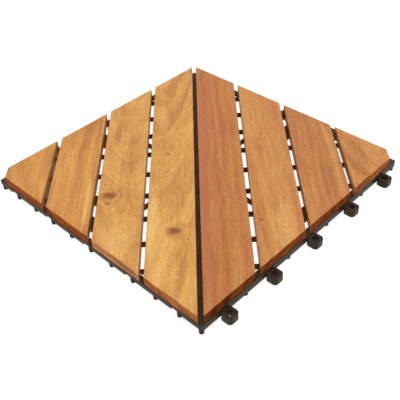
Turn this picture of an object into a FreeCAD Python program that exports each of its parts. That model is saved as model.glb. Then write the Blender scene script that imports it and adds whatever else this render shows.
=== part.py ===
import FreeCAD, Part
import math
import os
import Sketcher

# Interlocking deck tile: eight hardwood slats, laid along one diagonal, on a moulded grid base.
# X and Y run along the tile's sides, Z is up, and the origin is on the floor under the centre.
# Turned sketches have U across the slats, towards +X +Y, and V along the slats, towards -X +Y.

os.makedirs("parts", exist_ok=True)
doc = FreeCAD.newDocument("DeckTile")
sheet = doc.addObject("Spreadsheet::Sheet", "Sizes")

SIZES = (
    ("tile_pitch", 300, "centre to centre of two joined tiles"),
    ("tile_joint", 2, "gap between the bases of joined tiles"),
    ("base_corner", 1, "corner radius of the base"),
    ("deck_setback", 0.5, "slat ends inside the edge of the base"),
    ("slats_per_half", 4, "slats on each side of the centre gap"),
    ("slat_width", 46.3, "width of a slat"),
    ("slat_gap", 4.7, "gap between slats"),
    ("slat_thickness", 10, "thickness of a slat"),
    ("slat_round", 1, "rounding of the upper edges of a slat"),
    ("foot_height", 7, "floor to the underside of the grid"),
    ("grid_depth", 5, "depth of the ribs, rails and outer wall"),
    ("loop_wall_depth", 7, "depth of the outer wall on the loop sides"),
    ("wall_thickness", 2, "thickness of the outer wall"),
    ("flange_width", 7, "width of the rim's top flange"),
    ("flange_thickness", 2.5, "thickness of the rim's top flange"),
    ("ribs_per_half", 4, "ribs across the slats on each side of the centre one"),
    ("rib_pitch", 35.7, "spacing of the ribs"),
    ("rib_width", 2.5, "thickness of a rib"),
    ("rail_width", 2, "thickness of a rail along the slats"),
    ("cross_width", 2.5, "thickness of the two ribs that cross at the centre"),
    ("spine_width", 9, "width of the strip under the centre gap"),
    ("spine_thickness", 2, "thickness of that strip"),
    ("grooves_per_half", 1, "grooves across the spine on each side of the centre one"),
    ("groove_width", 1.2, "width of a groove across the spine"),
    ("groove_depth", 0.8, "depth of a groove across the spine"),
    ("front_drain_diameter", 2.5, "diameter of the spine's front drain hole"),
    ("front_drain_along", 179, "that hole from the centre, along the spine"),
    ("back_drain_diameter", 3.5, "diameter of the spine's back drain hole"),
    ("back_drain_along", 191, "that hole from the centre, along the spine"),
    ("back_drain_side", 2.9, "that hole from the spine's centre line"),
    ("plate_thickness", 2.5, "thickness of the tie plates"),
    ("plate_back", 62.5, "centre of the back tie plates along the slats"),
    ("plate_back_length", 24.5, "length of the back tie plates"),
    ("plate_front", 78.3, "centre of the front tie plates along the slats"),
    ("plate_front_length", 20.5, "length of the front tie plates"),
    ("plate_small", 43, "centre of the small tie plate along the slats"),
    ("plate_small_length", 14, "length of the small tie plate"),
    ("side_rail", 156.3, "extra rail near the -U corner, from the centre"),
    ("side_rail_break", 43.5, "centre of the break in that rail"),
    ("side_rail_break_length", 4, "length of the break"),
    ("foot_diameter", 5, "diameter of the feet and pins"),
    ("foot_pitch", 30, "spacing of the feet along the pin sides"),
    ("foot_inset", 3.3, "edge of the base to the line of feet and pins"),
    ("corner_foot_inset", 2.8, "edges of the base to the foot in a corner"),
    ("foot_round", 1.2, "rounding of the tips"),
    ("loop_count", 5, "loops on a side"),
    ("loop_pitch", 60, "spacing of the loops, pins and loop-side feet"),
    ("loop_play", 0.6, "clearance round a pin in its loop"),
    ("loop_wall", 3.3, "wall of a loop round its hole"),
    ("loop_round", 4, "outer corner radius of a loop"),
    ("loop_sink", 1.1, "how far a loop is sunk into the outer wall"),
    ("loop_hole_round", 1.5, "corner radius of a loop's hole"),
    ("loop_lift", 0.6, "floor to the underside of a loop"),
    ("loop_under_round", 1.2, "rounding under a loop"),
    ("loop_gap", 0.5, "clearance of a loop in the tile that it joins"),
    ("boss_diameter", 10, "diameter of a screw boss"),
    ("boss_drop", 1, "bosses below the underside of the grid"),
    ("boss_floor", 2.5, "plastic under the slat that a screw clamps"),
    ("screw_diameter", 3.5, "diameter of the screws"),
    ("screw_grip", 8, "length of a screw in the slat"),
    ("screw_point", 2.5, "length of the point"),
    ("screw_play", 0.1, "clearance round a screw in its boss"),
    ("head_diameter", 6.5, "diameter of a screw head"),
    ("head_height", 2.2, "height of a screw head"),
    ("head_round", 0.7, "rounding of a screw head"),
    ("head_play", 0.25, "clearance round a screw head"),
    ("recess_width", 1, "width of a slot of the cross recess"),
    ("recess_length", 3.6, "length of a slot of the cross recess"),
    ("recess_depth", 1.2, "depth of the cross recess"),
)
for row_number, (alias, number, meaning) in enumerate(SIZES, start=1):
    sheet.set(f"A{row_number}", meaning)
    sheet.set(f"B{row_number}", str(number))
    sheet.setAlias(f"B{row_number}", alias)
doc.recompute()


def value(expression):
    """The number that an expression of the sheet's sizes gives."""
    return float(sheet.evalExpression(expression))


# Lengths that several pieces share, written once as expressions of the sheet's sizes
HALF = "((Sizes.tile_pitch - Sizes.tile_joint) / 2)"
WALL_INSIDE = f"({HALF} - Sizes.wall_thickness)"
WALL_DIAGONAL = f"(({HALF} - Sizes.wall_thickness / 2) * sqrt(2))"
INNER_DIAGONAL = f"(({HALF} - Sizes.flange_width) * sqrt(2))"
DECK_DIAGONAL = f"(({HALF} - Sizes.deck_setback) * sqrt(2))"
SLAT_PITCH = "(Sizes.slat_width + Sizes.slat_gap)"
FLOOR = "(0 * Sizes.foot_height)"
CENTRE = "(0 * Sizes.tile_pitch)"
DECK_BASE = "(Sizes.foot_height + Sizes.grid_depth)"
DECK_TOP = f"({DECK_BASE} + Sizes.slat_thickness)"
FLANGE_BASE = f"({DECK_BASE} - Sizes.flange_thickness)"
PIN_LINE = f"({HALF} - Sizes.foot_inset)"
CORNER_FOOT = f"({HALF} - Sizes.corner_foot_inset)"
LOOP_CENTRE = f"(Sizes.tile_pitch - {PIN_LINE})"
LOOP_HOLE = "(Sizes.foot_diameter + 2 * Sizes.loop_play)"
LOOP_HALF = f"({LOOP_HOLE} / 2 + Sizes.loop_wall)"
LOOP_TOP = f"({FLANGE_BASE} - Sizes.loop_gap)"
HEAD_SEAT = f"({DECK_BASE} - Sizes.boss_floor)"

ALONG_TILE = 0
ACROSS_SLATS = 45
PIN_SIDES = (("left", 180), ("front", 270))
LOOP_SIDES = (("right", 0), ("back", 90))


def new_body(name):
    body = doc.addObject("PartDesign::Body", name)
    body.Label = name
    body.AllowCompound = True
    return body


def new_sketch(body, name, height, turn=ALONG_TILE):
    """A level sketch at a height, with its axes turned about Z by some degrees."""
    sketch = body.newObject("Sketcher::SketchObject", name)
    plane = [f for f in body.Origin.OriginFeatures if f.Role == "XY_Plane"][0]
    sketch.AttachmentSupport = [(plane, "")]
    sketch.MapMode = "FlatFace"
    sketch.AttachmentOffset = FreeCAD.Placement(
        FreeCAD.Vector(0, 0, value(height)),
        FreeCAD.Rotation(FreeCAD.Vector(0, 0, 1), turn),
    )
    sketch.setExpression("AttachmentOffset.Base.z", height)
    return sketch


def bind(sketch, constraint, expression):
    index = sketch.addConstraint(constraint)
    sketch.setExpression(f"Constraints[{index}]", expression)


def bind_point(sketch, edge, end, x, y):
    """Hold one end of an edge at coordinates given as expressions."""
    bind(sketch, Sketcher.Constraint("DistanceX", -1, 1, edge, end, value(x)), x)
    bind(sketch, Sketcher.Constraint("DistanceY", -1, 1, edge, end, value(y)), y)


def polygon(sketch, points):
    """A closed outline of straight edges through points given as pairs of expressions."""
    places = [FreeCAD.Vector(value(x), value(y), 0) for x, y in points]
    edges = []
    for start, end in zip(places, places[1:] + places[:1]):
        edges.append(sketch.addGeometry(Part.LineSegment(start, end), False))
    for edge, following in zip(edges, edges[1:] + edges[:1]):
        sketch.addConstraint(Sketcher.Constraint("Coincident", edge, 2, following, 1))
    for edge, (x, y) in zip(edges, points):
        bind_point(sketch, edge, 1, x, y)


def rectangle(sketch, left, right, low, high):
    polygon(sketch, ((left, low), (right, low), (right, high), (left, high)))


def band(sketch, left, right, diagonal, along_u=False):
    """A strip between two lines along V, or along U, that ends on the sides of a square of that half diagonal."""
    left_end = f"({diagonal} - abs({left}))"
    right_end = f"({diagonal} - abs({right}))"
    points = ((left, f"-{left_end}"), (right, f"-{right_end}"), (right, right_end), (left, left_end))
    if along_u:
        points = tuple((y, x) for x, y in points)
    polygon(sketch, points)


def circle(sketch, x, y, diameter):
    centre = FreeCAD.Vector(value(x), value(y), 0)
    ring = Part.Circle(centre, FreeCAD.Vector(0, 0, 1), value(diameter) / 2)
    edge = sketch.addGeometry(ring, False)
    bind_point(sketch, edge, 3, x, y)
    bind(sketch, Sketcher.Constraint("Diameter", edge, value(diameter)), diameter)


def rounded_rectangle(sketch, left, right, low, high, radius):
    """A rectangle with all four corners rounded."""
    reach = value(radius)
    points = ((left, low), (right, low), (right, high), (left, high))
    places = [FreeCAD.Vector(value(x), value(y), 0) for x, y in points]
    steps = [(places[(i + 1) % 4] - places[i]).normalize() for i in range(4)]
    sides = []
    for i in range(4):
        start = places[i] + steps[i] * reach
        end = places[(i + 1) % 4] - steps[i] * reach
        sides.append(sketch.addGeometry(Part.LineSegment(start, end), False))
    for i in range(4):
        before = sides[i - 1]
        after = sides[i]
        ring = Part.Circle(places[i] + (steps[i] - steps[i - 1]) * reach, FreeCAD.Vector(0, 0, 1), reach)
        start_angle = math.atan2(-steps[i].y, -steps[i].x)
        arc = sketch.addGeometry(Part.ArcOfCircle(ring, start_angle, start_angle + math.pi / 2), False)
        sketch.addConstraint(Sketcher.Constraint("Tangent", before, 2, arc, 1))
        sketch.addConstraint(Sketcher.Constraint("Tangent", arc, 2, after, 1))
        bind(sketch, Sketcher.Constraint("Radius", arc, reach), radius)
    for side, direction in zip(sides, ("Horizontal", "Vertical", "Horizontal", "Vertical")):
        sketch.addConstraint(Sketcher.Constraint(direction, side))
    for side, coordinate, place in (
        (sides[0], "DistanceY", low),
        (sides[1], "DistanceX", right),
        (sides[2], "DistanceY", high),
        (sides[3], "DistanceX", left),
    ):
        bind(sketch, Sketcher.Constraint(coordinate, -1, 1, side, 1, value(place)), place)


def pad(body, sketch, length):
    feature = body.newObject("PartDesign::Pad", f"{sketch.Name}_pad")
    feature.Profile = sketch
    feature.setExpression("Length", length)
    doc.recompute()
    return feature


def pocket(body, sketch, upwards, length=None):
    """Cut from a sketch, through all where no length is given. A cut that removes nothing is an error."""
    before = body.Shape.Volume
    feature = body.newObject("PartDesign::Pocket", f"{sketch.Name}_pocket")
    feature.Profile = sketch
    feature.Reversed = upwards
    if length is None:
        feature.Type = "ThroughAll"
    else:
        feature.setExpression("Length", length)
    doc.recompute()
    if not body.Shape.Volume < before:
        raise RuntimeError(f"{feature.Name} cuts nothing")
    return feature


def fillet(body, test, radius):
    """Round every edge of a body that passes the test."""
    base = body.Tip
    edges = [f"Edge{i}" for i, edge in enumerate(base.Shape.Edges, start=1) if test(edge)]
    blend = body.newObject("PartDesign::Fillet", f"{body.Name}_fillet")
    blend.Base = (base, edges)
    blend.setExpression("Radius", radius)
    doc.recompute()
    return blend


def lies_at(edge, height):
    return all(abs(vertex.Point.z - height) < 1e-4 for vertex in edge.Vertexes)


def row(count, pitch):
    """The places of a centred row, as expressions."""
    return [f"(({i} - ({count} - 1) / 2) * {pitch})" for i in range(int(value(count)))]


# Rails run along the slats, two under each slat, and ribs run across them. Both are counted from the centre.
RAILS_PER_HALF = int(2 * value("Sizes.slats_per_half"))
LAST_RIB = int(value("Sizes.ribs_per_half"))
RIBS = range(-LAST_RIB, LAST_RIB + 1)
LAST_GROOVE = int(value("Sizes.grooves_per_half"))
GROOVED_RIBS = range(-LAST_GROOVE, LAST_GROOVE + 1)
PLATE_INNER_RAIL = 3
PLATE_OUTER_RAIL = 4
LONGEST_WITHOUT_MIDDLE_SCREW = 2


def rail_u(index):
    return f"(({index} + 0.5) * {SLAT_PITCH} / 2)"


def rib_v(index):
    return f"({index} * Sizes.rib_pitch)"


def last_rib_inside(rail):
    """The last rib whose crossing with a rail leaves room for a boss inside the rim, or -1 for none."""
    room = value(f"{INNER_DIAGONAL} - Sizes.boss_diameter / 2 - Sizes.rail_width / 2 - {rail_u(rail)}")
    return max(-1, min(LAST_RIB, math.floor(room / value("Sizes.rib_pitch"))))


# Each slat has a screw near both ends of both of its rails, and the long ones one more in the middle.
# Every other crossing that has no screw stands on a foot.
SCREWS = []
INNER_FEET = []
for rail in range(RAILS_PER_HALF):
    last = last_rib_inside(rail)
    for rib in range(-last, last + 1):
        at_end = abs(rib) == last
        in_middle = rib == 0 and rail % 2 == 0 and last > LONGEST_WITHOUT_MIDDLE_SCREW
        if at_end or in_middle:
            SCREWS += [(rail, rib), (-1 - rail, rib)]
        elif (rail + rib) % 2 == 1:
            INNER_FEET += [(rail, rib), (-1 - rail, rib)]


def make_grid():
    """Ribs, rails, the spine, the centre cross, the tie plates and the screw bosses."""
    ribs = new_body("ribs")
    outline = new_sketch(ribs, "rib_outlines", "Sizes.foot_height", ACROSS_SLATS)
    for centre in [rib_v(i) for i in RIBS]:
        sides = (f"({centre} - Sizes.rib_width / 2)", f"({centre} + Sizes.rib_width / 2)")
        band(outline, *sides, WALL_DIAGONAL, along_u=True)
    pad(ribs, outline, "Sizes.grid_depth")

    rails = new_body("rails")
    outline = new_sketch(rails, "rail_outlines", "Sizes.foot_height", ACROSS_SLATS)
    for centre in [CENTRE] + [rail_u(i) for i in range(-RAILS_PER_HALF, RAILS_PER_HALF)]:
        band(outline, f"({centre} - Sizes.rail_width / 2)", f"({centre} + Sizes.rail_width / 2)", WALL_DIAGONAL)
    left = "(-Sizes.side_rail - Sizes.rail_width / 2)"
    right = "(-Sizes.side_rail + Sizes.rail_width / 2)"
    break_low = "(Sizes.side_rail_break - Sizes.side_rail_break_length / 2)"
    break_high = "(Sizes.side_rail_break + Sizes.side_rail_break_length / 2)"
    left_end = f"({WALL_DIAGONAL} - abs({left}))"
    right_end = f"({WALL_DIAGONAL} - abs({right}))"
    polygon(outline, ((left, f"-{left_end}"), (right, f"-{right_end}"), (right, break_low), (left, break_low)))
    polygon(outline, ((left, break_high), (right, break_high), (right, right_end), (left, left_end)))
    pad(rails, outline, "Sizes.grid_depth")

    spine = new_body("spine")
    outline = new_sketch(spine, "spine_outline", f"{DECK_BASE} - Sizes.spine_thickness", ACROSS_SLATS)
    band(outline, "(-Sizes.spine_width / 2)", "(Sizes.spine_width / 2)", WALL_DIAGONAL)
    pad(spine, outline, "Sizes.spine_thickness")

    cross = new_body("cross_ribs")
    for name, turn in (("cross_rib_x", 0), ("cross_rib_y", 90)):
        outline = new_sketch(cross, name, "Sizes.foot_height", turn)
        end = f"({HALF} - Sizes.wall_thickness / 2)"
        rectangle(outline, f"-{end}", end, "-Sizes.cross_width / 2", "Sizes.cross_width / 2")
        pad(cross, outline, "Sizes.grid_depth")

    plates = new_body("tie_plates")
    outline = new_sketch(plates, "plate_outlines", f"{DECK_BASE} - Sizes.plate_thickness", ACROSS_SLATS)
    inner = rail_u(PLATE_INNER_RAIL)
    outer = rail_u(PLATE_OUTER_RAIL)
    rise = f"({outer} - {inner}) / 2"
    for side, centre, length in (
        (-1, "Sizes.plate_back", "Sizes.plate_back_length"),
        (1, "Sizes.plate_back", "Sizes.plate_back_length"),
        (-1, "-Sizes.plate_front", "Sizes.plate_front_length"),
        (1, "-Sizes.plate_front", "Sizes.plate_front_length"),
        (-1, "-Sizes.plate_small", "Sizes.plate_small_length"),
    ):
        polygon(outline, (
            (f"{side} * {inner}", f"{centre} - {length} / 2 - {rise}"),
            (f"{side} * {outer}", f"{centre} - {length} / 2 + {rise}"),
            (f"{side} * {outer}", f"{centre} + {length} / 2 + {rise}"),
            (f"{side} * {inner}", f"{centre} + {length} / 2 - {rise}"),
        ))
    pad(plates, outline, "Sizes.plate_thickness")

    bosses = new_body("bosses")
    outline = new_sketch(bosses, "boss_circles", "Sizes.foot_height - Sizes.boss_drop", ACROSS_SLATS)
    for rail_index, rib_index in SCREWS:
        circle(outline, rail_u(rail_index), rib_v(rib_index), "Sizes.boss_diameter")
    pad(bosses, outline, "Sizes.grid_depth + Sizes.boss_drop")
    return [ribs, rails, spine, cross, plates, bosses]


def make_rim():
    """The top flange and the outer wall, which is deeper on the two sides that carry loops."""
    rim = new_body("rim")
    for name, height, inside, depth in (
        ("flange", FLANGE_BASE, f"({HALF} - Sizes.flange_width)", "Sizes.flange_thickness"),
        ("outer_wall", "Sizes.foot_height", WALL_INSIDE, "Sizes.grid_depth"),
    ):
        outline = new_sketch(rim, name, height)
        rounded_rectangle(outline, f"-{HALF}", HALF, f"-{HALF}", HALF, "Sizes.base_corner")
        rectangle(outline, f"-{inside}", inside, f"-{inside}", inside)
        pad(rim, outline, depth)
    end = f"({HALF} - Sizes.base_corner)"
    for side, turn in LOOP_SIDES:
        outline = new_sketch(rim, f"{side}_wall", f"{DECK_BASE} - Sizes.loop_wall_depth", turn)
        rectangle(outline, WALL_INSIDE, HALF, f"-{end}", end)
        pad(rim, outline, "Sizes.loop_wall_depth")
    return rim


def make_loops(side, turn):
    """A row of loops that stand out from the wall, each a barrel that is sunk a little into it."""
    loops = new_body(f"{side}_loops")
    first = "(-(Sizes.loop_count - 1) / 2 * Sizes.loop_pitch)"
    reach = (f"({HALF} - Sizes.loop_sink)", f"({LOOP_CENTRE} + {LOOP_HALF})")
    sides = (f"({first} - {LOOP_HALF})", f"({first} + {LOOP_HALF})")
    barrel = new_sketch(loops, f"{side}_barrel", "Sizes.loop_lift", turn)
    rounded_rectangle(barrel, *reach, *sides, "Sizes.loop_round")
    pad(loops, barrel, f"{LOOP_TOP} - Sizes.loop_lift")
    underside = value("Sizes.loop_lift")
    fillet(loops, lambda edge: lies_at(edge, underside), "Sizes.loop_under_round")

    hole = new_sketch(loops, f"{side}_hole", LOOP_TOP, turn)
    half_hole = f"({LOOP_HOLE} / 2)"
    across = (f"({LOOP_CENTRE} - {half_hole})", f"({LOOP_CENTRE} + {half_hole})")
    along = (f"({first} - {half_hole})", f"({first} + {half_hole})")
    rounded_rectangle(hole, *across, *along, "Sizes.loop_hole_round")
    pocket(loops, hole, False)

    pattern = loops.newObject("PartDesign::LinearPattern", f"{side}_loop_row")
    pattern.TransformMode = "Whole shape"
    pattern.Direction = (barrel, ["V_Axis"])
    pattern.setExpression("Length", "(Sizes.loop_count - 1) * Sizes.loop_pitch")
    pattern.setExpression("Occurrences", "Sizes.loop_count")
    loops.Tip = pattern
    doc.recompute()
    return loops


def make_loop_rooms():
    """Notches through the wall of the pin sides, under the flange, that the next tile's loops reach into."""
    rooms = new_body("loop_rooms")
    deep = f"(Sizes.tile_pitch - {LOOP_CENTRE} - {LOOP_HALF} - Sizes.loop_gap)"
    outside = f"({HALF} + Sizes.tile_joint)"
    half_room = f"({LOOP_HALF} + Sizes.loop_gap)"
    for side, turn in PIN_SIDES:
        outline = new_sketch(rooms, f"{side}_rooms", FLOOR, turn)
        for centre in row("Sizes.loop_count", "Sizes.loop_pitch"):
            rectangle(outline, deep, outside, f"{centre} - {half_room}", f"{centre} + {half_room}")
        pad(rooms, outline, FLANGE_BASE)
    return rooms


def make_hole_tools():
    """Shapes of the screw holes with their head pockets, and of the spine's grooves and drain holes."""
    screw_holes = new_body("screw_holes")
    for name, length, diameter in (
        ("shank_holes", DECK_TOP, "Sizes.screw_diameter + 2 * Sizes.screw_play"),
        ("head_holes", HEAD_SEAT, "Sizes.head_diameter + 2 * Sizes.head_play"),
    ):
        outline = new_sketch(screw_holes, name, FLOOR, ACROSS_SLATS)
        for rail_index, rib_index in SCREWS:
            circle(outline, rail_u(rail_index), rib_v(rib_index), diameter)
        pad(screw_holes, outline, length)

    grooves = new_body("grooves")
    outline = new_sketch(grooves, "groove_outlines", f"{DECK_BASE} - Sizes.groove_depth", ACROSS_SLATS)
    side = "(Sizes.spine_width / 2)"
    for centre in [rib_v(i) for i in GROOVED_RIBS]:
        low = f"({centre} - Sizes.rib_width / 2 - Sizes.groove_width / 2)"
        high = f"({centre} - Sizes.rib_width / 2 + Sizes.groove_width / 2)"
        rectangle(outline, f"-{side}", side, low, high)
    pad(grooves, outline, "Sizes.slat_thickness")

    drains = new_body("drains")
    outline = new_sketch(drains, "drain_circles", FLOOR, ACROSS_SLATS)
    circle(outline, CENTRE, "-Sizes.front_drain_along", "Sizes.front_drain_diameter")
    circle(outline, "-Sizes.back_drain_side", "Sizes.back_drain_along", "Sizes.back_drain_diameter")
    pad(drains, outline, DECK_TOP)
    return [screw_holes, grooves, drains]


def make_feet():
    """Pins and feet along the sides, one in each corner, and feet under the grid and the centre."""
    feet = new_body("feet")
    edge_feet = new_sketch(feet, "edge_foot_circles", FLOOR)
    per_half = math.floor(value(f"({PIN_LINE} - Sizes.foot_diameter) / Sizes.foot_pitch"))
    places = [(f"-{PIN_LINE}", along) for along in row(str(2 * per_half + 1), "Sizes.foot_pitch")]
    places += [(along, f"-{PIN_LINE}") for along in row(str(2 * per_half + 1), "Sizes.foot_pitch")]
    places += [(PIN_LINE, along) for along in row("(Sizes.loop_count - 1)", "Sizes.loop_pitch")]
    places += [(along, PIN_LINE) for along in row("(Sizes.loop_count - 1)", "Sizes.loop_pitch")]
    places += [(f"{x} * {CORNER_FOOT}", f"{y} * {CORNER_FOOT}") for x in (-1, 1) for y in (-1, 1)]
    for x, y in places:
        circle(edge_feet, x, y, "Sizes.foot_diameter")
    pad(feet, edge_feet, DECK_BASE)
    grid_feet = new_sketch(feet, "grid_foot_circles", FLOOR, ACROSS_SLATS)
    for rail_index, rib_index in INNER_FEET:
        circle(grid_feet, rail_u(rail_index), rib_v(rib_index), "Sizes.foot_diameter")
    circle(grid_feet, CENTRE, CENTRE, "Sizes.foot_diameter")
    pad(feet, grid_feet, FLANGE_BASE)
    fillet(feet, lambda edge: lies_at(edge, 0), "Sizes.foot_round")
    return feet


def make_base():
    """One moulding: the grid, rim and loops, less the loop rooms and holes, with the feet added last."""
    solids = make_grid() + [make_rim()] + [make_loops(side, turn) for side, turn in LOOP_SIDES]
    frame = doc.addObject("Part::MultiFuse", "frame")
    frame.Shapes = solids
    frame.Refine = False
    openings = doc.addObject("Part::Compound", "frame_openings")
    openings.Links = [make_loop_rooms()] + make_hole_tools()
    opened = doc.addObject("Part::Cut", "opened_frame")
    opened.Base = frame
    opened.Tool = openings
    opened.Refine = False
    base = doc.addObject("Part::MultiFuse", "base_grid")
    base.Label = "base_grid"
    base.Shapes = [opened, make_feet()]
    base.Refine = True
    doc.recompute()
    return base


def make_slat(number):
    """Slats are counted across the tile from the -U corner. Each is a board with its ends cut at 45 degrees."""
    step = number - 1 - int(value("Sizes.slats_per_half"))
    left = f"({step} * {SLAT_PITCH} + Sizes.slat_gap / 2)"
    right = f"({left} + Sizes.slat_width)"
    slat = new_body(f"slat_{number}")
    outline = new_sketch(slat, f"slat_{number}_outline", DECK_BASE, ACROSS_SLATS)
    band(outline, left, right, DECK_DIAGONAL)
    pad(slat, outline, "Sizes.slat_thickness")
    top = value(DECK_TOP)
    fillet(slat, lambda edge: lies_at(edge, top), "Sizes.slat_round")
    pilots = new_sketch(slat, f"slat_{number}_pilots", DECK_BASE, ACROSS_SLATS)
    for rail_index, rib_index in SCREWS:
        if rail_index in (2 * step, 2 * step + 1):
            circle(pilots, rail_u(rail_index), rib_v(rib_index), "Sizes.screw_diameter")
    pocket(slat, pilots, True, "Sizes.screw_grip")
    return slat


def make_screw():
    """One pan-head screw on the Z axis at its true height: head below, point up in the slat."""
    screw = new_body("screw")
    profile = screw.newObject("Sketcher::SketchObject", "screw_profile")
    plane = [f for f in screw.Origin.OriginFeatures if f.Role == "XZ_Plane"][0]
    profile.AttachmentSupport = [(plane, "")]
    profile.MapMode = "FlatFace"
    shank = "(Sizes.screw_diameter / 2)"
    head = "(Sizes.head_diameter / 2)"
    under = f"({HEAD_SEAT} - Sizes.head_height)"
    tip = f"({DECK_BASE} + Sizes.screw_grip)"
    polygon(profile, (
        (CENTRE, under),
        (head, under),
        (head, HEAD_SEAT),
        (shank, HEAD_SEAT),
        (shank, f"{tip} - Sizes.screw_point"),
        (CENTRE, tip),
    ))
    turned = screw.newObject("PartDesign::Revolution", "screw_turned")
    turned.Profile = profile
    turned.ReferenceAxis = (profile, ["V_Axis"])
    turned.Angle = 360
    doc.recompute()
    low = value(under)
    fillet(screw, lambda edge: lies_at(edge, low) and edge.isClosed(), "Sizes.head_round")
    for name, turn in (("recess_a", 0), ("recess_b", 90)):
        slot = new_sketch(screw, name, under, turn)
        half_length = "(Sizes.recess_length / 2)"
        half_width = "(Sizes.recess_width / 2)"
        rectangle(slot, f"-{half_length}", half_length, f"-{half_width}", half_width)
        pocket(screw, slot, True, "Sizes.recess_depth")
    return screw


def make_screws():
    """Every screw of the tile as its own solid, in one group. The single screw is its pattern."""
    screw = make_screw()
    turn = FreeCAD.Rotation(FreeCAD.Vector(0, 0, 1), ACROSS_SLATS)
    copies = []
    for rail_index, rib_index in SCREWS:
        place = turn.multVec(FreeCAD.Vector(value(rail_u(rail_index)), value(rib_v(rib_index)), 0))
        copy = screw.Shape.copy()
        copy.translate(place)
        copies.append(copy)
    group = doc.addObject("Part::Feature", "slat_screws")
    group.Label = "slat_screws"
    group.Shape = Part.makeCompound(copies)
    group.Placement = FreeCAD.Placement()
    return group


pieces = [make_base()]
for number in range(1, 2 * int(value("Sizes.slats_per_half")) + 1):
    pieces.append(make_slat(number))
pieces.append(make_screws())
doc.recompute()

for item in doc.Objects:
    if "Invalid" in item.State or "Error" in item.State:
        raise RuntimeError(f"{item.Label} failed: {item.State}")
for piece in pieces:
    if piece.Shape.isNull() or not piece.Shape.isValid():
        raise RuntimeError(f"{piece.Label} has no valid shape")
for piece in pieces:
    piece.Shape.exportStep(f"parts/{piece.Label}.step")
    print(piece.Label, len(piece.Shape.Solids), "solids", round(piece.Shape.Volume / 1000, 1), "cm3")
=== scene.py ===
import bpy
import math
from mathutils import Matrix, Vector


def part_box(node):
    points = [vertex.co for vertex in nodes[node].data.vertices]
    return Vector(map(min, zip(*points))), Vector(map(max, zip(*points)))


# Deck tile of eight oiled acacia boards on a moulded black base.
# U runs across the boards and V along them, both turned 45 degrees from the tile's sides.

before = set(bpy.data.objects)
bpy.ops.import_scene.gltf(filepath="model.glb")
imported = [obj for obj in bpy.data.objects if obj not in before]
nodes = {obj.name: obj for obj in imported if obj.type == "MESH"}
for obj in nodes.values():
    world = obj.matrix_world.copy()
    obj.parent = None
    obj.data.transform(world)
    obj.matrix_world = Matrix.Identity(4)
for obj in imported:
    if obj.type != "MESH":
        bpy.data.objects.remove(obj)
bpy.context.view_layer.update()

# Blender's lengths are metres
MM = 0.001
TURN = math.radians(45)
U = Vector((math.cos(TURN), math.sin(TURN), 0))
V = Vector((-math.sin(TURN), math.cos(TURN), 0))
DECK_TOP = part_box("slat_4")[1].z
WHITE = (1, 1, 1, 1)

# Most values of a noise lie in this range
NOISE_SPREAD = (0.3, 0.7)

# Sockets of a Mix node that mixes colours, which share their names with others of the same node
MIX_SHARE = 0
MIX_FIRST = 6
MIX_SECOND = 7
MIX_RESULT = 2


def linear(colour):
    """An sRGB colour written in hex, as the linear numbers that a shader takes."""
    channels = [int(colour[i:i + 2], 16) / 255 for i in (1, 3, 5)]
    return [c / 12.92 if c <= 0.04045 else ((c + 0.055) / 1.055) ** 2.4 for c in channels] + [1]


def new_material(name):
    """A material with an empty node tree, and that tree."""
    material = bpy.data.materials.new(name)
    material.use_nodes = True
    material.node_tree.nodes.clear()
    return material, material.node_tree


def add(tree, kind, settings, inputs):
    """One node with its settings. Each input is a plain value or another node's output."""
    made = tree.nodes.new(kind)
    for name, setting in settings.items():
        setattr(made, name, setting)
    for name, given in inputs.items():
        if isinstance(given, bpy.types.NodeSocket):
            tree.links.new(given, made.inputs[name])
        else:
            made.inputs[name].default_value = given
    return made


def calculate(tree, operation, *values):
    """The result of a Math node."""
    return add(tree, "ShaderNodeMath", {"operation": operation}, dict(enumerate(values))).outputs["Value"]


def vector_math(tree, operation, *values):
    """The outputs of a Vector Math node: Vector, or Value for a length or a dot product."""
    return add(tree, "ShaderNodeVectorMath", {"operation": operation}, dict(enumerate(values))).outputs


def weighted_sum(tree, start, *terms):
    """A start value plus each term's value times its weight."""
    total = start
    for value, weight in terms:
        total = calculate(tree, "MULTIPLY_ADD", value, weight, total)
    return total


def map_range(tree, value, source, target, easing="LINEAR"):
    """A value carried over from the source range to the target range, and held within that."""
    return add(tree, "ShaderNodeMapRange", {"interpolation_type": easing}, {
        "Value": value, "From Min": source[0], "From Max": source[1],
        "To Min": target[0], "To Max": target[1]}).outputs["Result"]


def own_frame(tree, vector, place=(0, 0, 0), turn=(0, 0, 0), unit=(1, 1, 1)):
    """A place as seen from a frame with its own origin, turn and units."""
    return add(tree, "ShaderNodeMapping", {"vector_type": "TEXTURE"}, {
        "Vector": vector, "Location": place, "Rotation": turn, "Scale": unit}).outputs["Vector"]


def noise(tree, vector, scale, detail, roughness, seed=None, lacunarity=2):
    """The outputs of a noise, Fac and Color. A seed gives it a look of its own."""
    settings = {}
    inputs = {
        "Vector": vector, "Scale": scale, "Detail": detail, "Roughness": roughness, "Lacunarity": lacunarity}
    if seed is not None:
        settings["noise_dimensions"] = "4D"
        inputs["W"] = seed
    return add(tree, "ShaderNodeTexNoise", settings, inputs).outputs


def ramp(tree, factor, stops):
    """A colour ramp over a factor. Each stop is a place and an sRGB colour."""
    made = add(tree, "ShaderNodeValToRGB", {}, {"Fac": factor})
    elements = made.color_ramp.elements
    while len(elements) < len(stops):
        elements.new(0.5)
    for element, (place, colour) in zip(elements, stops):
        element.position = place
        element.color = linear(colour)
    return made.outputs["Color"]


def mixed(tree, share, first, second):
    """The first colour, with a share of the second."""
    made = add(tree, "ShaderNodeMix", {"data_type": "RGBA"}, {
        MIX_SHARE: share, MIX_FIRST: first, MIX_SECOND: second})
    return made.outputs[MIX_RESULT]


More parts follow.
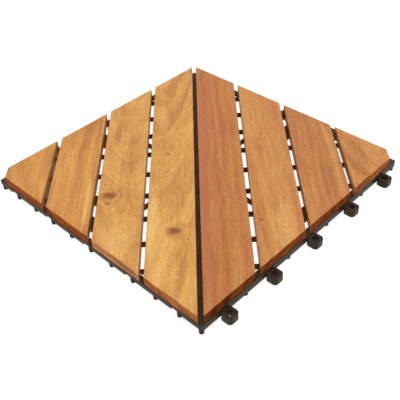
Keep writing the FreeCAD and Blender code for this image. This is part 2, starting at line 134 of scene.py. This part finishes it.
def shaded(tree, colour, shade):
    """A colour made lighter or darker without a change of hue."""
    made = add(tree, "ShaderNodeVectorMath", {"operation": "SCALE"}, {0: colour, "Scale": shade})
    return made.outputs["Vector"]


def bumped(tree, height, strength, depth):
    """The surface's direction, with a height's relief on it."""
    return add(tree, "ShaderNodeBump", {}, {
        "Height": height, "Strength": strength, "Distance": depth}).outputs["Normal"]


def principled(tree, inputs):
    """The one shader of a tree, with its output."""
    shader = add(tree, "ShaderNodeBsdfPrincipled", {}, inputs)
    add(tree, "ShaderNodeOutputMaterial", {}, {"Surface": shader.outputs["BSDF"]})


def paint(node, material):
    """Give a CAD piece its finish."""
    mesh = nodes[node].data
    if not mesh.materials:
        mesh.materials.append(material)
    for slot in nodes[node].material_slots:
        slot.material = material


# Oiled acacia, sawn and planed. Its layers are noises with blotches of one width across the board and one
# length along it, and each adds a step of its own to the board's seed. Fibres and pores are drawn about
# three times as coarse as they really are, so that they show. Ripples are the waves of a curly figure.
SWAY = dict(step=0, width=60 * MM, length=120 * MM, detail=2, roughness=0.5)
FIBRES = dict(step=11, width=1.1 * MM, length=45 * MM, detail=3, roughness=0.6)
PORES = dict(step=17, width=0.9 * MM, length=7 * MM, detail=1, roughness=0.5)
PATCHES = dict(step=23, width=22 * MM, length=70 * MM, detail=3, roughness=0.55)
STREAKS = dict(step=29, width=8 * MM, length=260 * MM, detail=2, roughness=0.5)
FLECKS = dict(step=37, width=1.4 * MM, length=2.6 * MM, detail=2, roughness=0.6)
RIPPLES = dict(step=41, width=16 * MM, length=2.8 * MM, detail=1, roughness=0.5)
GRAIN_LAYERS = (FIBRES, PORES, PATCHES, STREAKS, FLECKS, RIPPLES)
SWAY_REACH = 14 * MM

# Growth bands, which also change slowly along the board
BANDS = dict(scale=1 / (5 * MM), detail=4, roughness=0.55, lacunarity=2.2)
BAND_STEP = 7
BAND_DRIFT = 0.02

# Knots push the grain aside as far out as their reach, in half widths, and have a ragged edge
KNOT_EDGE = dict(scale=260, detail=3, roughness=0.6)
KNOT_STEP = 3
KNOT_RAGGEDNESS = 1.6
KNOT_REACH = 2.6
KNOT_FADE = (0.25, 1.05)
KNOT_PUSH = 11 * MM
KNOT_WOOD = ((0.35, "#70381E"), (0.65, "#AC663A"))

# Knots and tints reach through a board, so their depth is far more than its thickness
SPOT_DEPTH = 60 * MM
TINT_FADE = (0.2, 1.4)

# How much each layer counts in the tone, from dark wood to light, and then in the shade laid over it
MIDDLE_TONE = 0.5
BAND_TONE = 0.55
PATCH_TONE = 0.3
FIBRE_TONE = 0.15
MEAN_SHADE = 1.0025
FIBRE_SHADE = 0.45
FLECK_SHADE = 0.65

STREAK_SHOWS = (0.62, 0.8)
PORE_SHOWS = (0.62, 0.74)
PORE_COLOUR = "#6E3D1E"
PORE_STRENGTH = 0.45

# End grain shows where the surface faces along the board. It is dotted with pores, and has no sheen.
END_FACING = (0.35, 0.68)
END_DOTS = dict(scale=900, detail=2, roughness=0.6)
END_STEP = 31
DOT_TONE = 0.5
END_TONES = (0.65, 0.85)
END_SHADES = (0.4, 1.6)

WOOD_SHEEN = 0.3
WOOD_ROUGHNESS = (0.5, 0.62)
RELIEF_STRENGTH = 0.35
RELIEF_DEPTH = 0.15 * MM
PORE_RELIEF = -0.7


def layer(tree, vector, seed, step, width, length, detail, roughness):
    """One of the wood's layers, as a noise's outputs."""
    drawn_out = own_frame(tree, vector, unit=(width, length, width))
    return noise(tree, drawn_out, 1, detail, roughness, seed + step)


def distance_from(tree, vector, across, along, width, length):
    """How far a place on the board is from the middle of an ellipse, with 1 at its edge."""
    spot = own_frame(
        tree, vector, place=(across * MM, along * MM, 0), unit=(width * MM, length * MM, SPOT_DEPTH))
    return vector_math(tree, "LENGTH", spot)["Value"]


def swaying(tree, board_place, seed):
    """The place in the grain, which sways slowly along the board."""
    sway = layer(tree, board_place, seed, **SWAY)["Color"]
    reach = (SWAY_REACH, 0, SWAY_REACH)
    back = (-SWAY_REACH / 2, 0, -SWAY_REACH / 2)
    step = vector_math(tree, "MULTIPLY_ADD", sway, reach, back)["Vector"]
    return vector_math(tree, "ADD", board_place, step)["Vector"]


def knot_marks(tree, board_place, board):
    """How far the knots push the grain aside at each place, and how strongly they stain it."""
    push = 0
    stain = 0
    edge = noise(tree, board_place, seed=board["seed"] + KNOT_STEP, **KNOT_EDGE)["Fac"]
    for across, along, width, length, strength in board["knots"]:
        far = distance_from(tree, board_place, across, along, width, length)
        rough_far = weighted_sum(tree, -KNOT_RAGGEDNESS / 2, (edge, KNOT_RAGGEDNESS), (far, 1))
        near = map_range(tree, far, (0, KNOT_REACH), (strength, 0), "SMOOTHERSTEP")
        inside = map_range(tree, rough_far, KNOT_FADE, (strength, 0), "SMOOTHSTEP")
        push = calculate(tree, "ADD", push, near)
        stain = calculate(tree, "MAXIMUM", stain, inside)
    return push, stain


def growth_bands(tree, board_place, grain, push, board):
    """Bands by the distance from the pith. It leans along the board, so that they open into long arches."""
    pith_across, pith_height = board["pith"]
    tilt_across, tilt_height = board["tilt"]
    log = own_frame(
        tree, grain, place=(pith_across * MM, 0, pith_height * MM), turn=(tilt_across, 0, tilt_height))
    flat_log = vector_math(tree, "MULTIPLY", log, (1, 0, 1))["Vector"]
    ring = weighted_sum(tree, vector_math(tree, "LENGTH", flat_log)["Value"], (push, KNOT_PUSH))
    along = add(tree, "ShaderNodeSeparateXYZ", {}, {"Vector": board_place}).outputs["Y"]
    drift = calculate(tree, "MULTIPLY", along, BAND_DRIFT)
    ring_place = add(tree, "ShaderNodeCombineXYZ", {}, {"X": ring, "Y": drift}).outputs["Vector"]
    return noise(tree, ring_place, seed=board["seed"] + BAND_STEP, **BANDS)["Fac"]


def face_colour(tree, grain, tone, bands, streaks, stain, pore_share, board):
    """Colour of a board's faces: its wood, tinted patches, red streaks, knots and pores."""
    light, middle, dark, red = board["palette"]
    figure = board["figure"]
    colour = ramp(tree, tone, (
        (MIDDLE_TONE - figure, dark), (MIDDLE_TONE, middle), (MIDDLE_TONE + figure, light)))
    for across, along, width, length, strength, tint in board["tints"]:
        far = distance_from(tree, grain, across, along, width, length)
        share = map_range(tree, far, TINT_FADE, (strength, 0), "SMOOTHERSTEP")
        colour = mixed(tree, share, colour, linear(tint))
    streak_shows = [edge - board["streaks"] for edge in STREAK_SHOWS]
    red_share = map_range(tree, streaks, streak_shows, (0, board["redness"]), "SMOOTHSTEP")
    colour = mixed(tree, red_share, colour, linear(red))
    colour = mixed(tree, stain, colour, ramp(tree, bands, KNOT_WOOD))
    strength = calculate(tree, "MULTIPLY", pore_share, PORE_STRENGTH)
    return mixed(tree, strength, colour, linear(PORE_COLOUR))


def end_colour(tree, board_place, tone, board):
    """Colour of a board's end grain."""
    dots = noise(tree, board_place, seed=board["seed"] + END_STEP, **END_DOTS)["Fac"]
    end_tone = weighted_sum(tree, tone, (dots, DOT_TONE))
    return shaded(tree, linear(board["end"])[:3], map_range(tree, end_tone, END_TONES, END_SHADES))


def oiled_acacia(name, place, board):
    """A board's own wood. The place is the middle of its top."""
    material, tree = new_material(name)
    seed = board["seed"]
    ripple = board["ripple"]
    where = add(tree, "ShaderNodeTexCoord", {}, {}).outputs
    board_place = own_frame(tree, where["Object"], place=place, turn=(0, 0, TURN))
    grain = swaying(tree, board_place, seed)
    push, stain = knot_marks(tree, board_place, board)
    bands = growth_bands(tree, board_place, grain, push, board)
    fibres, pores, patches, streaks, flecks, ripples = (
        layer(tree, grain, seed, **kind)["Fac"] for kind in GRAIN_LAYERS)
    pore_share = map_range(tree, pores, PORE_SHOWS, (0, 1), "SMOOTHSTEP")

    tone = weighted_sum(tree, 0, (bands, BAND_TONE), (patches, PATCH_TONE), (fibres, FIBRE_TONE))
    colour = face_colour(tree, grain, tone, bands, streaks, stain, pore_share, board)
    shade = weighted_sum(
        tree, MEAN_SHADE - (FIBRE_SHADE + FLECK_SHADE + ripple) / 2,
        (fibres, FIBRE_SHADE), (flecks, FLECK_SHADE), (ripples, ripple))
    colour = shaded(tree, colour, shade)

    along = vector_math(tree, "DOT_PRODUCT", where["Normal"], V)["Value"]
    end_share = map_range(tree, calculate(tree, "ABSOLUTE", along), END_FACING, (0, 1), "SMOOTHSTEP")
    relief = weighted_sum(tree, fibres, (pore_share, PORE_RELIEF))
    principled(tree, {
        "Base Color": mixed(tree, end_share, colour, end_colour(tree, board_place, tone, board)),
        "Roughness": map_range(tree, patches, NOISE_SPREAD, WOOD_ROUGHNESS),
        "Normal": bumped(tree, relief, RELIEF_STRENGTH, RELIEF_DEPTH),
        "Specular IOR Level": map_range(tree, end_share, (0, 1), (WOOD_SHEEN, 0)),
    })
    return material


# Light, middle and dark wood, and the colour of its red streaks
HONEY = ("#E2A254", "#D2914A", "#BD783A", "#C4703C")
PALE_HONEY = ("#E6AC5E", "#D6984F", "#C07F42", "#C67A4C")
LIGHT_HONEY = ("#EBB161", "#DC9E52", "#C78645", "#CB7F4E")
RUSSET = ("#D29152", "#C27C44", "#A96535", "#B2603E")
COPPER = ("#D2924F", "#C47C41", "#B06835", "#B86642")
AMBER = ("#DC9F5A", "#CE8B4C", "#B8733A", "#BE6C40")

# Tints
SAPWOOD = "#F4C272"
ROSE = "#B66648"
BROWN = "#A8663A"
ORANGE = "#D87040"

# The boards, from the left corner of the photograph to the right one. The pith is the log's centre, across
# the board and above its top, in millimetres, and the tilt is its lean in radians. A small figure makes the
# bands strong. Streaks widen the red streaks, redness makes them stronger, and ripple is how strong the
# curly figure is. Knots are given as across, along, half width, half length and strength, and tints have a
# colour too. Their places are in millimetres from the board's middle.
SLAT_STEP = 51
BOARDS = (
    dict(palette=HONEY, seed=1.3, pith=(30, -160), tilt=(0.06, 0.02), figure=0.09, streaks=0.02, redness=0.5,
         ripple=0, end="#A4562F", knots=(), tints=()),
    dict(palette=HONEY, seed=4.7, pith=(-90, -120), tilt=(0.03, 0.03), figure=0.09, streaks=0.05,
         redness=0.5, ripple=0, end="#A45629", knots=(),
         tints=((16, -55, 3, 45, 0.75, SAPWOOD), (12, -72, 2, 30, 0.35, ORANGE))),
    dict(palette=PALE_HONEY, seed=9.1, pith=(10, -90), tilt=(0.09, 0.05), figure=0.08, streaks=0.04,
         redness=0.5, ripple=0.15, end="#DF9764",
         knots=((-11, -47, 10, 8, 0.85), (-12, -60, 3.5, 4, 0.5)),
         tints=((2, -115, 16, 30, 0.6, SAPWOOD), (-9.8, 62, 5, 24, 0.55, BROWN),
                (8, 20, 8, 50, 0.3, BROWN))),
    dict(palette=LIGHT_HONEY, seed=12.9, pith=(-20, -70), tilt=(0.1, -0.04), figure=0.08, streaks=0.02,
         redness=0.4, ripple=0.08, end="#C27443",
         knots=((3.6, -104, 9, 7, 0.9), (-5.2, 18, 5, 6, 0.55), (-12, 44, 2.5, 4, 0.5),
                (16, -116, 1.8, 1.8, 0.8)),
         tints=((-18, -90, 6, 55, 0.8, SAPWOOD), (-4, -158, 14, 20, 0.35, SAPWOOD),
                (4, -45, 13, 40, 0.25, BROWN), (-12, 85, 8, 30, 0.35, SAPWOOD))),
    dict(palette=COPPER, seed=17.2, pith=(160, -50), tilt=(0.01, 0.02), figure=0.14, streaks=0.1,
         redness=0.6, ripple=0, end="#753B19", knots=((-2.4, -65, 7, 7, 0.22),),
         tints=((-18, 0, 7, 220, 0.6, ROSE), (-6, 20, 4, 180, 0.3, ROSE))),
    dict(palette=AMBER, seed=21.6, pith=(60, -80), tilt=(0.05, 0.03), figure=0.13, streaks=0.06, redness=0.4,
         ripple=0, end="#8A4923", knots=((-16.2, -94, 3, 3.5, 0.7),),
         tints=((4, -110, 12, 35, 0.4, SAPWOOD),)),
    dict(palette=RUSSET, seed=26.4, pith=(-140, -60), tilt=(0.02, -0.03), figure=0.13, streaks=0.06,
         redness=0.4, ripple=0, end="#844320", knots=(),
         tints=((-3, 114, 12, 30, 0.3, ROSE), (16, 0, 5, 90, 0.25, SAPWOOD))),
    dict(palette=AMBER, seed=31.8, pith=(15, -60), tilt=(0.12, 0.06), figure=0.09, streaks=0.02, redness=0.4,
         ripple=0.2, end="#AC6438", knots=(), tints=((-8, 0, 10, 40, 0.4, BROWN),)),
)
ROW_MIDDLE = (len(BOARDS) + 1) / 2
for number, board in enumerate(BOARDS, start=1):
    middle = (number - ROW_MIDDLE) * SLAT_STEP
    place = U * middle * MM + Vector((0, 0, DECK_TOP))
    paint(f"slat_{number}", oiled_acacia(f"oiled_acacia_{number}", place, board))

GRIT = dict(scale=1 / (0.35 * MM), detail=2, roughness=0.6)
FLOW = dict(scale=1 / (18 * MM), detail=4, roughness=0.6)
PLASTIC_TONES = ((0.35, "#31261B"), (0.55, "#3A2D20"), (0.75, "#463627"))
PLASTIC_ROUGHNESS = (0.38, 0.52)
PLASTIC_SHEEN = 0.15
GRIT_STRENGTH = 0.4
GRIT_DEPTH = 0.05 * MM

CRYSTAL_SIZE = 0.6 * MM
ZINC_TONES = ((0.1, "#BFC1C0"), (0.8, "#A9ABAA"))
ZINC_ROUGHNESS = (0.28, 0.42)


def moulded_polypropylene():
    """Injection-moulded polypropylene, a warm black: finely textured, slightly satin, unevenly dusty."""
    material, tree = new_material("moulded_black_polypropylene")
    place = add(tree, "ShaderNodeTexCoord", {}, {}).outputs["Object"]
    grit = noise(tree, place, **GRIT)["Fac"]
    flow = noise(tree, place, **FLOW)["Fac"]
    principled(tree, {
        "Base Color": ramp(tree, flow, PLASTIC_TONES),
        "Roughness": map_range(tree, flow, NOISE_SPREAD, PLASTIC_ROUGHNESS),
        "Normal": bumped(tree, grit, GRIT_STRENGTH, GRIT_DEPTH),
        "Specular IOR Level": PLASTIC_SHEEN,
    })
    return material


def zinc_plated_steel():
    """Zinc-plated steel: bright grey with a faint cloudy crystal pattern."""
    material, tree = new_material("zinc_plated_steel")
    place = add(tree, "ShaderNodeTexCoord", {}, {}).outputs["Object"]
    crystals = add(tree, "ShaderNodeTexVoronoi", {}, {"Vector": place, "Scale": 1 / CRYSTAL_SIZE})
    cloud = crystals.outputs["Distance"]
    principled(tree, {
        "Base Color": ramp(tree, cloud, ZINC_TONES),
        "Metallic": 1,
        "Roughness": map_range(tree, cloud, (0, 1), ZINC_ROUGHNESS),
    })
    return material


paint("base_grid", moulded_polypropylene())
paint("slat_screws", zinc_plated_steel())

# Camera, as fitted to the photograph: turned and raised about the middle of the boards' top. The image's
# side is in pixels, and the sensor's width is in millimetres.
IMAGE = 400
FOCAL_PIXELS = 655.91
SENSOR = 36
AZIMUTH = math.radians(46.1)
ELEVATION = math.radians(40.1)
ROLL = math.radians(-3.48)
DISTANCE = 691.61 * MM
SHIFT_RIGHT = 3.73 * MM
SHIFT_UP = -39.12 * MM
CLIP_START = 10 * MM


def fitted_camera():
    """The camera, turned by its own right, up and back directions."""
    level_back = Vector((math.sin(AZIMUTH), -math.cos(AZIMUTH), 0))
    level_right = Vector((math.cos(AZIMUTH), math.sin(AZIMUTH), 0))
    back = level_back * math.cos(ELEVATION) + Vector((0, 0, math.sin(ELEVATION)))
    level_up = back.cross(level_right)
    right = level_right * math.cos(ROLL) + level_up * math.sin(ROLL)
    up = level_up * math.cos(ROLL) - level_right * math.sin(ROLL)
    place = back * DISTANCE + right * SHIFT_RIGHT + up * SHIFT_UP + Vector((0, 0, DECK_TOP))
    lens = bpy.data.cameras.new("camera")
    lens.sensor_width = SENSOR
    lens.lens = FOCAL_PIXELS / IMAGE * SENSOR
    lens.clip_start = CLIP_START
    made = bpy.data.objects.new("camera", lens)
    made.matrix_world = Matrix((
        (right.x, up.x, back.x, place.x),
        (right.y, up.y, back.y, place.y),
        (right.z, up.z, back.z, place.z),
        (0, 0, 0, 1)))
    bpy.context.scene.collection.objects.link(made)
    return made


bpy.context.scene.camera = fitted_camera()

# Soft studio light: an even pale room, and one broad lamp overhead
ROOM_LIGHT = 0.45
LAMP_POWER = 1.6
LAMP_SPREAD = math.radians(30)
LAMP_FROM = Vector((0.15, -0.05, 1))

# The floor's grey for the light that it throws back, and for the shadows that the camera sees on it
FLOOR_GREY = (0.8, 0.8, 0.8, 1)
SHADOW_GREY = (0.3, 0.3, 0.3, 1)
FLOOR_GLOW = 0.9
FLOOR_REACH = 4
FLOOR_DROP = 0.2 * MM


def looked_at(tree):
    """1 for what is looked at, also in a mirror or through glass, and 0 for what only gives light."""
    ray = add(tree, "ShaderNodeLightPath", {}, {}).outputs
    seen = calculate(tree, "MAXIMUM", ray["Is Camera Ray"], ray["Is Glossy Ray"])
    return calculate(tree, "MAXIMUM", seen, ray["Is Transmission Ray"])


def pale_room():
    """A room that looks white and lights the tile less strongly than that."""
    world = bpy.data.worlds.new("studio")
    world.use_nodes = True
    tree = world.node_tree
    tree.nodes.clear()
    strength = map_range(tree, looked_at(tree), (0, 1), (ROOM_LIGHT, 1))
    sky = add(tree, "ShaderNodeBackground", {}, {"Color": WHITE, "Strength": strength})
    add(tree, "ShaderNodeOutputWorld", {}, {"Surface": sky.outputs["Background"]})
    return world


def broad_lamp():
    """A lamp that is broad enough for soft shadows."""
    light = bpy.data.lights.new("broad_lamp", "SUN")
    light.energy = LAMP_POWER
    light.angle = LAMP_SPREAD
    lamp = bpy.data.objects.new("broad_lamp", light)
    lamp.rotation_mode = "QUATERNION"
    lamp.rotation_quaternion = LAMP_FROM.to_track_quat("Z", "Y")
    bpy.context.scene.collection.objects.link(lamp)


def pale_floor():
    """A plain pale floor that keeps the object's shadow. To the eye most of its white is its own."""
    material, tree = new_material("pale_studio_floor")
    lit = add(tree, "ShaderNodeBsdfDiffuse", {}, {"Color": FLOOR_GREY})
    shadowed = add(tree, "ShaderNodeBsdfDiffuse", {}, {"Color": SHADOW_GREY})
    own = add(tree, "ShaderNodeEmission", {}, {"Color": WHITE, "Strength": FLOOR_GLOW})
    eye = add(tree, "ShaderNodeAddShader", {}, {0: shadowed.outputs["BSDF"], 1: own.outputs["Emission"]})
    both = add(tree, "ShaderNodeMixShader", {}, {
        0: looked_at(tree), 1: lit.outputs["BSDF"], 2: eye.outputs["Shader"]})
    add(tree, "ShaderNodeOutputMaterial", {}, {"Surface": both.outputs["Shader"]})
    return material


bpy.context.scene.world = pale_room()
broad_lamp()

bpy.ops.mesh.primitive_plane_add(size=2 * FLOOR_REACH, location=(0, 0, -FLOOR_DROP))
floor = bpy.context.object
floor.name = "floor"
floor.data.materials.append(pale_floor())

bpy.context.scene.view_settings.view_transform = "Standard"
